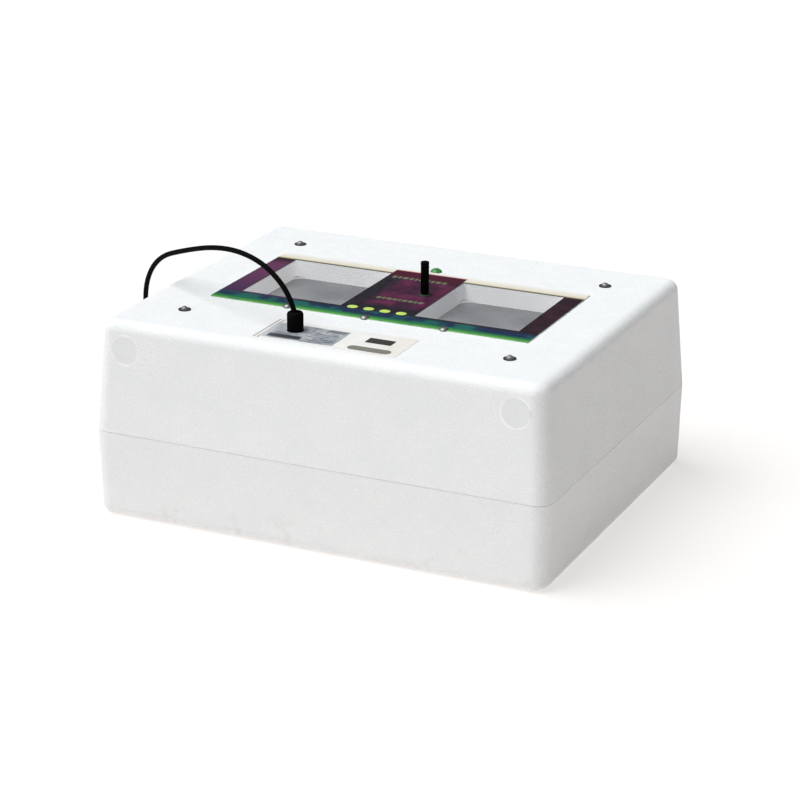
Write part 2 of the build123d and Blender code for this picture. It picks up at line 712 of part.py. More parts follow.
# ---------------------------------------------------------------- mains lead
def make_cord_boot():
    """Ribbed rubber boot on the lid with a gland through the foam and a flared mouth."""
    with BuildPart() as boot:
        with Locations((BOOT_X, BOOT_Y, TERMINAL_TOP_Z + HOLE_CLEARANCE)):
            Cylinder(GLAND_R, HEIGHT - TERMINAL_TOP_Z, align=(Align.CENTER, Align.CENTER, Align.MIN))
        with Locations((BOOT_X, BOOT_Y, HEIGHT)):
            Cylinder(BOOT_R, BOOT_H, align=(Align.CENTER, Align.CENTER, Align.MIN))
        fillet(boot.edges().group_by(Axis.Z)[-1], BOOT_TOP_R)
        with BuildSketch(Plane.XY.offset(HEIGHT + 2)):
            with Locations((BOOT_X, BOOT_Y)):
                with PolarLocations(BOOT_R, BOOT_GROOVES):
                    Rectangle(1, 1.6)
        extrude(amount=BOOT_H - 7, mode=Mode.SUBTRACT)
        mouth_h = HEIGHT + BOOT_H - CORD_ROUTE[0][2] + CORD_R / 2
        with BuildSketch(Plane(origin=(BOOT_X, BOOT_Y, HEIGHT + BOOT_H), x_dir=(1, 0, 0), z_dir=(0, -1, 0))):
            with BuildLine():
                Polyline((0, 0), (MOUTH_TOP_R, 0), (MOUTH_FOOT_R, -mouth_h), (0, -mouth_h), close=True)
            make_face()
        revolve(axis=Axis((BOOT_X, BOOT_Y, 0), (0, 0, 1)), mode=Mode.SUBTRACT)
    keep(boot, "cord_boot")


def corner_radii(points):
    """For each inner point, 0.45 of its shorter run over the tangent of half its turn."""
    radii = []
    for before, here, after in zip(points, points[1:], points[2:]):
        run_in = Vector(*here) - Vector(*before)
        run_out = Vector(*after) - Vector(*here)
        half_turn = radians(run_in.get_angle(run_out)) / 2
        shorter = min(run_in.length, run_out.length)
        radii.append(0.45 * shorter * cos(half_turn) / sin(half_turn))
    return radii


def make_cord():
    """The lead from the boot to the table, and the solid its coiled remainder fills."""
    radii = corner_radii(CORD_ROUTE)
    with BuildPart() as lead:
        with BuildLine() as path:
            FilletPolyline(*CORD_ROUTE, radius=radii)
        with BuildSketch(Plane(origin=path.line @ 0, z_dir=path.line % 0)):
            Circle(CORD_R)
        sweep()
    keep(lead, "cord_lead")
    lead_length = path.wire().length
    section = pi * CORD_R**2
    print("cord radii", [round(r) for r in radii])
    print("cord lead length", round(lead_length, 1), "volume ratio", lead.part.volume / section / lead_length)
    print("cord left for the coil", round(CORD_LENGTH - lead_length, 1))
    with BuildPart() as coil:
        with BuildSketch(Plane(origin=(COIL_X, COIL_Y, 0), x_dir=(1, 0, 0), z_dir=(0, -1, 0))):
            with Locations((COIL_MEAN_R, COIL_H / 2)):
                RectangleRounded(COIL_BAND, COIL_H, CORD_R)
        revolve(axis=Axis((COIL_X, COIL_Y, 0), (0, 0, 1)))
        with BuildSketch(Plane(origin=(tail_x(), COIL_Y, TAIL_Z), z_dir=(0, 1, 0))):
            Circle(CORD_R)
        extrude(amount=plug_start_y() - COIL_Y)
    keep(coil, "cord_coil")


def tail_x():
    """The x of the coil's outermost turn, which runs on to the plug."""
    return COIL_X + COIL_MEAN_R + 2 * CORD_R


def plug_start_y():
    """Where the plug's strain relief begins, clear of the coil."""
    return COIL_Y + 26


def make_plug():
    """Two-blade mains plug at the end of the lead."""
    body_y = plug_start_y() + RELIEF_LENGTH
    with BuildPart() as relief:
        with BuildSketch(Plane(origin=(tail_x(), plug_start_y(), TAIL_Z), z_dir=(0, 1, 0))):
            Circle(CORD_R + 0.6)
        with BuildSketch(Plane(origin=(tail_x(), body_y, TAIL_Z), z_dir=(0, 1, 0))):
            Circle(CORD_R + 3)
        loft()
    keep(relief, "plug_relief")
    with BuildPart() as body:
        with Locations((tail_x(), body_y, TAIL_Z)):
            Box(*PLUG_SIZE, align=(Align.CENTER, Align.MIN, Align.CENTER))
        fillet(body.edges().filter_by(Axis.Y), 6)
        fillet(body.faces().sort_by(Axis.Y)[0].edges(), 3)
        # finger grooves on both sides
        with Locations((tail_x(), body_y + PLUG_SIZE[1] / 2, TAIL_Z)):
            with GridLocations(PLUG_SIZE[0], PLUG_GROOVE_PITCH, 2, PLUG_GROOVES):
                Box(1.6, 1.8, PLUG_SIZE[2] - 12, mode=Mode.SUBTRACT)
    keep(body, "plug_body")
    with BuildPart() as blades:
        with Locations((tail_x(), body_y + PLUG_SIZE[1] + BLADE_SIZE[1] / 2, TAIL_Z)):
            with GridLocations(BLADE_SPACING, 0, 2, 1):
                Box(*BLADE_SIZE)
    keep(blades, "plug_blades")


def main():
    os.makedirs("parts", exist_ok=True)
    make_base_shell()
    make_lid_shell()
    make_sheet("window_panel", HEIGHT, PANEL_T, window_holes=False)
    make_sheet("panel_print", HEIGHT + PANEL_T, PRINT_T, window_holes=True)
    make_inner_panes()
    make_panel_screws()
    make_corner_bolts()
    make_heater_insulators()
    make_heater_wire()
    make_stem_bush()
    make_stem()
    make_wafer()
    make_switch()
    make_lamp()
    make_leads()
    make_labels()
    make_wire_floor()
    make_cord_boot()
    make_cord()
    make_plug()
    for piece in pieces:
        export_step(piece, "parts/" + piece.label + ".step")


main()
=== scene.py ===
"""Looks of the tabletop egg incubator: foam shells, printed panel, labels, wire floor and mains lead.

Metres, in the CAD model's frame: origin at the centre of the footprint, +Z up, front facing -Y.
"""

import math

import bmesh
import bpy
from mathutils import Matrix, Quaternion, Vector


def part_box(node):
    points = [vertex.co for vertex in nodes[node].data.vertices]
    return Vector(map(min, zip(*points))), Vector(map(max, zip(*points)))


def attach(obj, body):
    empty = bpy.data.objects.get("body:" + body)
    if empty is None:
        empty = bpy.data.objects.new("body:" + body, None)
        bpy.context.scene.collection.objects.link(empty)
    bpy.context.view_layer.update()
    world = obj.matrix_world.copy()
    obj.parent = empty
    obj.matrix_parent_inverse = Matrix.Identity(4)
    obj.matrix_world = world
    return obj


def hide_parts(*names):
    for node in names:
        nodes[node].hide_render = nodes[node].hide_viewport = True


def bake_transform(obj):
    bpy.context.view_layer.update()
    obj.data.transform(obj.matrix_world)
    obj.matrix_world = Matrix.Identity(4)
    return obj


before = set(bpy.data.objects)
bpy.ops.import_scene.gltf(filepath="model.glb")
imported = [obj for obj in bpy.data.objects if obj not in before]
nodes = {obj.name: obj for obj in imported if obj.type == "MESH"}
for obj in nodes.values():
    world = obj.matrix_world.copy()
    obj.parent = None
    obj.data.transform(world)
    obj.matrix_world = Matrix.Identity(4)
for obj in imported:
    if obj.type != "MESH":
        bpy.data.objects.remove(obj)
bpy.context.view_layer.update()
MM = 0.001

# ---------------------------------------------------------------- places taken from the frame
print_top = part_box("panel_print")[1].z
sheet_low, sheet_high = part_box("window_panel")
card_low, card_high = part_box("thermometer_card")
tube_low, tube_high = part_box("thermometer_tube")
floor_low, floor_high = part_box("wire_floor")
rod_low, rod_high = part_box("stem_rod")
coil_low, coil_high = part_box("cord_coil")
relief_low, relief_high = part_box("plug_relief")

# window openings in the lid: reach from the centre line, front to back, and height of their walls
WINDOW_ACROSS = (0.0455, 0.1755)
WINDOW_ALONG = (-0.0575, 0.0845)
WINDOW_WALL_Z = (0.2105, 0.2346)

# mould rings on the lid's front and back faces
RING_X = 0.2386
RING_Z = 0.2016
RING_EDGE = (0.0163, 0.0183)
RING_FACE_Y = (0.212, 0.214)

# mains lead, with the route of the CAD tube
CORD_DIAMETER = 6 * MM
CORD_ROUTE = [
    (-0.052, -0.160, 0.252),
    (-0.058, -0.159, 0.274),
    (-0.089, -0.152, 0.301),
    (-0.131, -0.135, 0.309),
    (-0.180, -0.110, 0.302),
    (-0.233, -0.082, 0.284),
    (-0.287, -0.056, 0.262),
    (-0.319, -0.035, 0.217),
    (-0.326, -0.018, 0.154),
    (-0.322, -0.006, 0.096),
    (-0.315, 0.006, 0.048),
    (-0.308, 0.026, 0.013),
    (-0.3055, 0.050, 0.0032),
    (-0.305, 0.070, 0.0031),
]


# ---------------------------------------------------------------- shader helpers
class Look:
    """A procedural material built round one Principled shader, in object coordinates."""

    def __init__(self, name, color, roughness, metallic=0.0):
        self.material = bpy.data.materials.new(name)
        self.material.use_nodes = True
        self.tree = self.material.node_tree
        self.shader = self.tree.nodes["Principled BSDF"]
        self.shader.inputs["Base Color"].default_value = (*color, 1)
        self.shader.inputs["Roughness"].default_value = roughness
        self.shader.inputs["Metallic"].default_value = metallic
        self.place = self.add("ShaderNodeTexCoord").outputs["Object"]

    def add(self, kind, **settings):
        node = self.tree.nodes.new(kind)
        for key, value in settings.items():
            setattr(node, key, value)
        return node

    def link(self, source, target):
        self.tree.links.new(source, target)

    def set(self, **values):
        """Constants on the shader's own sockets, with underscores for spaces."""
        for key, value in values.items():
            self.shader.inputs[key.replace("_", " ")].default_value = value
        return self

    def noise(self, scale, detail=4.0, stretch=(1, 1, 1)):
        """Noise between 0 and 1 with the given cells per metre."""
        node = self.add("ShaderNodeTexNoise")
        node.inputs["Scale"].default_value = scale
        node.inputs["Detail"].default_value = detail
        node.inputs["Roughness"].default_value = 0.55
        self.link(self.stretched(stretch), node.inputs["Vector"])
        return node.outputs["Fac"]

    def stretched(self, factors):
        """Object coordinates multiplied axis by axis."""
        if tuple(factors) == (1, 1, 1):
            return self.place
        node = self.add("ShaderNodeVectorMath", operation="MULTIPLY")
        node.inputs[1].default_value = factors
        self.link(self.place, node.inputs[0])
        return node.outputs["Vector"]

    def cells(self, scale):
        """Voronoi cells: the distance to the nearest wall between them."""
        node = self.add("ShaderNodeTexVoronoi", feature="DISTANCE_TO_EDGE")
        node.inputs["Scale"].default_value = scale
        self.link(self.place, node.inputs["Vector"])
        return node.outputs["Distance"]

    def part(self, vector, index):
        """One part of a vector."""
        node = self.add("ShaderNodeSeparateXYZ")
        self.link(vector, node.inputs[0])
        return node.outputs[index]

    def axis(self, index):
        """One object coordinate."""
        return self.part(self.place, index)

    def math(self, operation, a, b=0.0):
        node = self.add("ShaderNodeMath", operation=operation)
        for socket, value in ((node.inputs[0], a), (node.inputs[1], b)):
            if isinstance(value, (int, float)):
                socket.default_value = value
            else:
                self.link(value, socket)
        return node.outputs[0]

    def remap(self, value, low, high, to_low=0.0, to_high=1.0):
        """A smooth step of value from low..high to to_low..to_high."""
        node = self.add("ShaderNodeMapRange", interpolation_type="SMOOTHSTEP")
        settings = (low, high, to_low, to_high)
        for name, number in zip(("From Min", "From Max", "To Min", "To Max"), settings):
            node.inputs[name].default_value = number
        self.link(value, node.inputs["Value"])
        return node.outputs["Result"]

    def inside(self, value, low, high, soft=0.5 * MM):
        """1 where value is between low and high, 0 outside, with soft edges."""
        rise = self.remap(value, low - soft, low + soft)
        fall = self.remap(value, high - soft, high + soft, 1.0, 0.0)
        return self.math("MULTIPLY", rise, fall)

    def patch(self, x_range, y_range, soft=0.5 * MM):
        """1 inside a rectangle seen from above."""
        across = self.inside(self.axis(0), *x_range, soft)
        along = self.inside(self.axis(1), *y_range, soft)
        return self.math("MULTIPLY", across, along)

    def mix(self, factor, first, second):
        """Colour mixed from first to second by factor."""
        node = self.add("ShaderNodeMix", data_type="RGBA")
        self.link(factor, node.inputs["Factor"])
        for socket, value in ((node.inputs["A"], first), (node.inputs["B"], second)):
            if isinstance(value, tuple):
                socket.default_value = (*value, 1)
            else:
                self.link(value, socket)
        return node.outputs["Result"]

    def color(self, socket):
        self.link(socket, self.shader.inputs["Base Color"])
        return self

    def rough(self, value, low, high):
        """Roughness that follows value from low to high."""
        self.link(self.remap(value, 0.25, 0.75, low, high), self.shader.inputs["Roughness"])
        return self

    def bump(self, height, distance, strength=1.0):
        """Adds a bump; later bumps build on earlier ones."""
        node = self.add("ShaderNodeBump")
        node.inputs["Strength"].default_value = strength
        node.inputs["Distance"].default_value = distance
        self.link(height, node.inputs["Height"])
        already = self.shader.inputs["Normal"].links
        if already:
            self.link(already[0].from_socket, node.inputs["Normal"])
        self.link(node.outputs["Normal"], self.shader.inputs["Normal"])
        return self


def paint(look, *names):
    """Gives a material to CAD nodes or to new pieces, by name."""
    for name in names:
        piece = nodes.get(name) or bpy.data.objects[name]
        piece.data.materials.clear()
        piece.data.materials.append(look.material)


# ---------------------------------------------------------------- materials
def foam_look():
    """Moulded bead foam: beads, faint grooves, scuffs low down, mould rings with a painted pale highlight,
    painted glow on the window walls and painted shade on the window ledges.
    """
    look = Look("bead_foam", (0.9, 0.9, 0.9), 0.62)
    beads = look.cells(270)
    small_beads = look.cells(560)
    grooves = look.remap(beads, 0.0, 0.12)
    mottle = look.noise(22, 5)
    clean = look.mix(look.remap(mottle, 0.3, 0.7), (0.915, 0.92, 0.925), (0.95, 0.95, 0.945))
    beaded = look.mix(grooves, (0.88, 0.885, 0.89), clean)
    from_centre = look.math("ABSOLUTE", look.axis(0))
    height = look.axis(2)
    low_down = look.remap(height, 0.0, 0.05, 1, 0)
    scuffs = look.math("MULTIPLY", look.remap(look.noise(38, 6), 0.56, 0.7), low_down)
    shell = look.mix(look.math("MULTIPLY", scuffs, 0.35), beaded, (0.72, 0.71, 0.68))
    # mould rings: a broken pale line, a painted highlight that also glows faintly, round a slightly duller
    # disc
    ring_x = look.math("SUBTRACT", from_centre, RING_X)
    ring_z = look.math("SUBTRACT", height, RING_Z)
    squares = look.math("ADD", look.math("MULTIPLY", ring_x, ring_x), look.math("MULTIPLY", ring_z, ring_z))
    radius = look.math("SQRT", squares)
    upright = look.remap(look.math("ABSOLUTE", look.axis(1)), *RING_FACE_Y)
    disc = look.math("MULTIPLY", upright, look.inside(radius, -0.01, 0.0165))
    shell = look.mix(look.math("MULTIPLY", disc, 0.5), shell, (0.82, 0.83, 0.83))
    ring = look.math("MULTIPLY", upright, look.inside(radius, *RING_EDGE))
    ring = look.math("MULTIPLY", ring, look.remap(look.noise(70, 2), 0.35, 0.65, 0.15, 0.85))
    shell = look.mix(ring, shell, (0.99, 0.99, 0.99))
    # window openings: painted glow on the upright walls, and painted shade on the small corner ledges at
    # their foot
    facing_up = look.part(look.add("ShaderNodeTexCoord").outputs["Normal"], 2)
    across = look.inside(from_centre, *WINDOW_ACROSS)
    openings = look.math("MULTIPLY", across, look.inside(look.axis(1), *WINDOW_ALONG))
    openings = look.math("MULTIPLY", openings, look.inside(height, *WINDOW_WALL_Z))
    painted_shade_ledges = look.math("MULTIPLY", openings, look.remap(facing_up, 0.4, 0.7))
    look.color(look.mix(painted_shade_ledges, shell, (0.36, 0.36, 0.37)))
    look.rough(look.noise(60, 3), 0.5, 0.7)
    look.bump(look.remap(beads, 0.0, 0.2), 0.35 * MM, 0.45)
    look.bump(look.remap(small_beads, 0.0, 0.2), 0.15 * MM, 0.3)
    look.bump(look.noise(12, 3), 1.2 * MM, 0.25)
    # painted glow: the upright window walls give off light, less of it on the right window's left wall
    walls = look.math("MULTIPLY", openings, look.remap(facing_up, 0.4, 0.7, 1.0, 0.0))
    glow = look.mix(walls, (0, 0, 0), (0.225, 0.221, 0.222))
    dim_wall = look.math("MULTIPLY", walls, look.inside(look.axis(0), 0.04, 0.05, 3 * MM))
    glow = look.mix(dim_wall, glow, (0.08, 0.08, 0.085))
    # painted glow: the mould rings' pale line gives off a little light
    glow = look.mix(ring, glow, (0.07, 0.07, 0.07))
    look.link(glow, look.shader.inputs["Emission Color"])
    return look.set(Specular_IOR_Level=0.3, Emission_Strength=1.0)


def clear_sheet_look():
    """Clear plastic sheet with a slight haze, fine wipe marks and a painted pale green glow on its nearly
    opaque edges.
    """
    look = Look("clear_sheet", (0.8, 0.8, 0.83), 0.08)
    wipe = look.noise(40, 5, stretch=(1, 6, 1))
    across = (sheet_low.x + MM, sheet_high.x - MM)
    along = (sheet_low.y + MM, sheet_high.y - MM)
    within = look.patch(across, along, 0.3 * MM)
    # painted highlight: the edges are pale green and nearly opaque, the middle clear
    look.color(look.mix(within, (0.7, 0.82, 0.68), (0.8, 0.8, 0.83)))
    look.link(look.remap(within, 0.0, 1.0, 0.95, 0.1), look.shader.inputs["Alpha"])
    look.rough(wipe, 0.05, 0.16)
    look.bump(look.noise(9, 2), 0.4 * MM, 0.25)
    return look.set(IOR=1.49)


def inner_glazing_look():
    """Hazy inner pane with a film of dust and condensation, and painted shade that makes it darker to the
    back and paler to the front.
    """
    look = Look("inner_glazing", (0.25, 0.245, 0.26), 0.4)
    cloud = look.remap(look.noise(18, 5), 0.3, 0.7, -0.25, 0.25)
    # painted shade: darker towards the back of the window, lighter to the front, with random cloud added
    painted_light_to_front = look.remap(look.axis(1), 0.075, -0.055)
    painted_light_and_cloud = look.math("ADD", painted_light_to_front, cloud)
    look.color(look.mix(painted_light_and_cloud, (0.105, 0.104, 0.11), (0.3, 0.297, 0.3)))
    look.rough(look.noise(70, 4), 0.3, 0.5)
    look.bump(look.noise(14, 2), 0.5 * MM, 0.2)
    return look.set(Alpha=0.93, Specular_IOR_Level=0.2)


def print_look():
    """The printed film: purple sides, dark centre label, pale back strip, teal and green front edge, with a
    painted pale highlight along the very front.
    """
    look = Look("printed_film", (0.05, 0.03, 0.05), 0.35)
    x = look.axis(0)
    y = look.axis(1)
    grain = look.noise(160, 4)
    blotch = look.noise(45, 5)
    # centre label: charcoal with a magenta field and a wine-red back edge
    dark = look.mix(look.remap(grain, 0.3, 0.7), (0.012, 0.009, 0.014), (0.026, 0.021, 0.033))
    field = look.patch((-24 * MM, 47 * MM), (-36 * MM, 66 * MM), 9 * MM)
    magenta = look.mix(look.remap(blotch, 0.35, 0.65), (0.045, 0.011, 0.032), (0.14, 0.02, 0.072))
    color = look.mix(look.math("MULTIPLY", field, 0.9), dark, magenta)
    wine = look.patch((-46 * MM, 47 * MM), (72 * MM, 110 * MM), 5 * MM)
    color = look.mix(look.math("MULTIPLY", wine, 0.8), color, (0.085, 0.006, 0.026))
    # side bands
    purple = look.mix(look.remap(y, -0.06, 0.03), (0.066, 0.026, 0.078), (0.125, 0.037, 0.095))
    purple = look.mix(look.remap(y, 0.055, 0.082), purple, (0.024, 0.01, 0.014))
    color = look.mix(look.inside(x, -0.21, -0.1), color, purple)
    plum = look.mix(look.remap(blotch, 0.4, 0.65), (0.022, 0.01, 0.017), (0.042, 0.015, 0.026))
    color = look.mix(look.inside(x, 0.1, 0.21), color, plum)
    # front bands: navy and teal mottling, then green at the very edge
    sea = look.mix(look.remap(blotch, 0.42, 0.62), (0.011, 0.028, 0.075), (0.014, 0.125, 0.105))
    color = look.mix(look.inside(y, -0.2, -0.062, 4 * MM), color, sea)
    leaf = look.mix(look.remap(y, -0.0895, -0.08), (0.13, 0.42, 0.07), (0.02, 0.17, 0.06))
    leaf = look.mix(look.remap(look.noise(60, 3), 0.5, 0.68, 0.0, 0.7), leaf, (0.025, 0.2, 0.1))
    color = look.mix(look.inside(y, -0.2, -0.078, 3 * MM), color, leaf)
    # painted highlight: the front edge and its side face turn pale green
    color = look.mix(look.remap(y, -0.0932, -0.096, 0.0, 0.8), color, (0.42, 0.72, 0.36))
    # pale strip along the back, with an olive line where it meets the windows
    pale = look.mix(look.remap(y, 0.088, 0.1), (0.8, 0.73, 0.6), (0.9, 0.88, 0.84))
    line = look.mix(look.remap(y, 0.0845, 0.0868), (0.4, 0.35, 0.2), pale)
    beside_label = look.inside(look.math("ABSOLUTE", x), 0.046, 0.21)
    strip = look.math("MULTIPLY", beside_label, look.remap(y, 0.0818, 0.0826))
    color = look.mix(strip, color, line)
    edge = look.mix(look.inside(x, -0.046, 0.046), (0.87, 0.8, 0.7), (0.66, 0.36, 0.32))
    edge = look.mix(look.remap(y, 0.0975, 0.0995), edge, (0.9, 0.88, 0.84))
    color = look.mix(look.remap(y, 0.0955, 0.0965), color, edge)
    look.color(color)
    look.rough(look.noise(55, 4), 0.3, 0.5)
    look.bump(grain, 0.05 * MM, 0.3)
    return look.set(Specular_IOR_Level=0.25)


def steel_look(name, color, scale=300, metallic=1.0):
    """Plated or dulled steel with fine mottling and rubbed patches."""
    look = Look(name, color, 0.3, metallic)
    wear = look.noise(scale, 5)
    dull = tuple(0.55 * c for c in color)
    look.color(look.mix(look.remap(wear, 0.35, 0.7), dull, color))
    look.rough(look.noise(scale * 2, 4), 0.22, 0.48)
    look.bump(look.noise(scale * 4, 3), 0.04 * MM, 0.4)
    return look


def plastic_look(name, color, rough_range, grain=900, bump_depth=0.04, sheen=0.5):
    """Moulded plastic or rubber with a fine grain and uneven sheen."""
    look = Look(name, color, sum(rough_range) / 2)
    drift = look.noise(grain / 12, 4)
    lighter = tuple(min(1, 1.3 * c + 0.001) for c in color)
    look.color(look.mix(look.remap(drift, 0.3, 0.75), color, lighter))
    look.rough(look.noise(grain / 4, 4), *rough_range)
    look.bump(look.noise(grain, 3), bump_depth * MM, 0.5)
    return look.set(Specular_IOR_Level=sheen)


def braid_look():
    """Glass-fibre sleeve: two crossing sets of ribs and slight scorching."""
    look = Look("glass_fibre_sleeve", (0.66, 0.62, 0.53), 0.85)
    scorch = look.noise(30, 4)
    look.color(look.mix(look.remap(scorch, 0.4, 0.7), (0.7, 0.67, 0.58), (0.47, 0.4, 0.29)))
    look.rough(scorch, 0.75, 0.92)
    look.bump(look.cells(1100), 0.25 * MM, 0.8)
    return look


def paper_look(name, color, mark, edge_line=False):
    """Sticker stock with faint fibre, yellowing and, where asked, a double line at its left edge."""
    look = Look(name, color, 0.5)
    fibre = look.noise(400, 4)
    tone = look.mix(look.remap(look.noise(28, 4), 0.3, 0.7), tuple(0.94 * c for c in color), color)
    if edge_line:
        right = look.remap(look.axis(0), 0.02, 0.08, 0.0, 0.7)
        tone = look.mix(right, tone, (0.89, 0.82, 0.75))
        for left in (-0.0866, -0.0815):
            stripe = look.inside(look.axis(0), left, left + 2.2 * MM, 0.8 * MM)
            tone = look.mix(look.math("MULTIPLY", stripe, 0.9), tone, mark)
    look.color(tone)
    look.rough(look.noise(80, 3), 0.38, 0.6)
    look.bump(fibre, 0.03 * MM, 0.4)
    return look


def rating_plate_look():
    """Silvered label with a dark block at its lower left, rows of fine unreadable marks and a painted
    highlight at its left end.
    """
    look = Look("rating_plate", (0.5, 0.52, 0.55), 0.35)
    cloud = look.noise(70, 4)
    silver = look.mix(look.remap(cloud, 0.35, 0.65), (0.33, 0.36, 0.41), (0.6, 0.62, 0.64))
    rows = look.math("SINE", look.math("MULTIPLY", look.axis(1), 2 * math.pi / (5.6 * MM)))
    dashes = look.remap(look.noise(420, 2, stretch=(0.5, 1.6, 1)), 0.48, 0.54)
    marks = look.math("MULTIPLY", look.remap(rows, 0.1, 0.4), dashes)
    right_half = look.patch((-34 * MM, 5 * MM), (-188 * MM, -144 * MM), 1.5 * MM)
    print_mask = look.math("MULTIPLY", look.math("MULTIPLY", marks, right_half), 0.75)
    color = look.mix(print_mask, silver, (0.05, 0.06, 0.08))
    # painted highlight: the left end fades towards pale silver
    color = look.mix(look.remap(look.axis(0), -0.066, -0.08, 0.0, 0.8), color, (0.8, 0.81, 0.83))
    block = look.patch((-74 * MM, -34 * MM), (-189 * MM, -178 * MM), 1.5 * MM)
    color = look.mix(look.math("MULTIPLY", block, 0.9), color, (0.03, 0.035, 0.045))
    head = look.patch((-18 * MM, 6 * MM), (-151 * MM, -144 * MM), 2 * MM)
    color = look.mix(look.math("MULTIPLY", head, 0.6), color, (0.12, 0.14, 0.18))
    look.color(color)
    look.rough(cloud, 0.28, 0.5)
    look.bump(look.noise(600, 3), 0.03 * MM, 0.3)
    return look.set(Metallic=0.25)


def glass_look():
    """Clear glass tube of the thermometer."""
    look = Look("thermometer_glass", (0.9, 0.93, 0.95), 0.04)
    look.rough(look.noise(200, 2), 0.03, 0.1)
    look.bump(look.noise(120, 2), 0.05 * MM, 0.3)
    return look.set(Alpha=0.3)


def lens_look():
    """Green lamp lens, moulded with fine prisms."""
    look = Look("lamp_lens", (0.1, 0.42, 0.16), 0.18)
    look.color(look.mix(look.remap(look.noise(500, 3), 0.3, 0.7), (0.03, 0.17, 0.04), (0.1, 0.34, 0.1)))
    look.rough(look.noise(300, 3), 0.12, 0.3)
    look.bump(look.cells(900), 0.15 * MM, 0.5)
    return look.set(Specular_IOR_Level=0.3)


# ---------------------------------------------------------------- mesh helpers
def mesh_piece(name, verts, faces, body):
    """A new mesh object riding on a body."""
    mesh = bpy.data.meshes.new(name)
    mesh.from_pydata(verts, [], faces)
    mesh.update()
    piece = bpy.data.objects.new(name, mesh)
    bpy.context.scene.collection.objects.link(piece)
    shape = bmesh.new()
    shape.from_mesh(mesh)
    bmesh.ops.recalc_face_normals(shape, faces=shape.faces)
    shape.to_mesh(mesh)
    shape.free()
    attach(piece, body)
    return piece


def ring_stack(rings):
    """Vertices and faces of a closed skin through rings of equal count, capped at both ends."""
    verts = [point for ring in rings for point in ring]
    count = len(rings[0])
    faces = []
    for i in range(len(rings) - 1):
        a = i * count
        b = a + count
        for k in range(count):
            n = (k + 1) % count
            faces.append((a + k, a + n, b + n, b + k))
    faces.append(tuple(range(count)))
    faces.append(tuple((len(rings) - 1) * count + k for k in range(count)))
    return verts, faces


def join_parts(parts):
    """Joins several (verts, faces) pairs into one."""
    verts = []
    faces = []
    for part_verts, part_faces in parts:
        base = len(verts)
        verts.extend(part_verts)
        faces.extend(tuple(base + i for i in face) for face in part_faces)
    return verts, faces


def rounded_slab(centre, size, low_z, high_z, corner, steps=5):
    """A thin slab with rounded corners, seen from above."""
    half_x = size[0] / 2 - corner
    half_y = size[1] / 2 - corner
    rings = []
    for z in (low_z, high_z):
        ring = []
        for quarter, (sx, sy) in enumerate(((1, 1), (-1, 1), (-1, -1), (1, -1))):
            for step in range(steps + 1):
                angle = math.pi / 2 * (quarter + step / steps)
                x = centre[0] + sx * half_x + corner * math.cos(angle)
                y = centre[1] + sy * half_y + corner * math.sin(angle)
                ring.append((x, y, z))
        rings.append(ring)
    return ring_stack(rings)


def round_bar(start, end, radius, sides=8):
    """A straight round bar between two points."""
    axis = (Vector(end) - Vector(start)).normalized()
    side = axis.orthogonal().normalized()
    other = axis.cross(side)
    rings = []
    for point in (start, end):
        ring = []
        for k in range(sides):
            angle = 2 * math.pi * k / sides
            ring.append(Vector(point) + radius * (math.cos(angle) * side + math.sin(angle) * other))
        rings.append(ring)
    return ring_stack(rings)


# ---------------------------------------------------------------- printed marks on the panel
def make_print_marks():
    """Plain bars and dots where the panel carries print."""
    low = print_top
    high = low + 0.06 * MM
    bars = []
    for row_y, first, last, height, gap in ((70, -39, 33, 8, 2.0), (-11, -22, 40, 7, 1.6)):
        x = first
        widths = (5.5, 4, 6.5, 5, 3.5, 6)
        index = 0
        while x + widths[index % 6] <= last:
            width = widths[index % 6]
            centre = ((x + width / 2) * MM, row_y * MM)
            bars.append(rounded_slab(centre, (width * MM, height * MM), low, high, 0.8 * MM))
            x += width + gap
            index += 1
    marks = mesh_piece("print_bars", *join_parts(bars), "lid")
    dots = []
    for x in (-31.5, -11, 9.5, 30):
        dots.append(rounded_slab((x * MM, -56 * MM), (12.5 * MM, 11 * MM), low, high, 5.4 * MM, 8))
    spots = mesh_piece("print_dots", *join_parts(dots), "lid")


# ---------------------------------------------------------------- wire floor
def make_wire_floor():
    """Welded mesh: one layer of wires along X with a layer along Y fused on top."""
    radius = 0.6 * MM
    pitch = 12.3 * MM
    low_z = floor_low.z + radius
    high_z = floor_high.z - radius
    wires = []
    columns = round((floor_high.x - floor_low.x - 2 * radius) / pitch)
    rows = round((floor_high.y - floor_low.y - 2 * radius) / pitch)
    for i in range(columns + 1):
        x = floor_low.x + radius + (floor_high.x - floor_low.x - 2 * radius) * i / columns
        wires.append(round_bar((x, floor_low.y, high_z), (x, floor_high.y, high_z), radius))
    for i in range(rows + 1):
        y = floor_low.y + radius + (floor_high.y - floor_low.y - 2 * radius) * i / rows
        wires.append(round_bar((floor_low.x, y, low_z), (floor_high.x, y, low_z), radius))
    mesh = mesh_piece("wire_mesh", *join_parts(wires), "wire_floor")
    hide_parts("wire_floor")


# ---------------------------------------------------------------- threaded stem
def make_stem_thread():
    """The thermostat stem with a real thread form."""
    centre_x = (rod_low.x + rod_high.x) / 2
    centre_y = (rod_low.y + rod_high.y) / 2
    outer = (rod_high.x - rod_low.x) / 2
    depth = 0.45 * MM
    pitch = 1.0 * MM
    sides = 20
    steps_per_turn = 8
    count = round((rod_high.z - rod_low.z) / pitch * steps_per_turn)
    rings = []
    for i in range(count + 1):
        z = rod_low.z + (rod_high.z - rod_low.z) * i / count
        ring = []
        for k in range(sides):
            turn = k / sides
            phase = ((z - rod_low.z) / pitch - turn) % 1
            radius = outer - depth * abs(2 * phase - 1)
            angle = 2 * math.pi * turn
            ring.append((centre_x + radius * math.cos(angle), centre_y + radius * math.sin(angle), z))
        rings.append(ring)
    thread = mesh_piece("stem_thread", *ring_stack(rings), "stem")
    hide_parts("stem_rod")


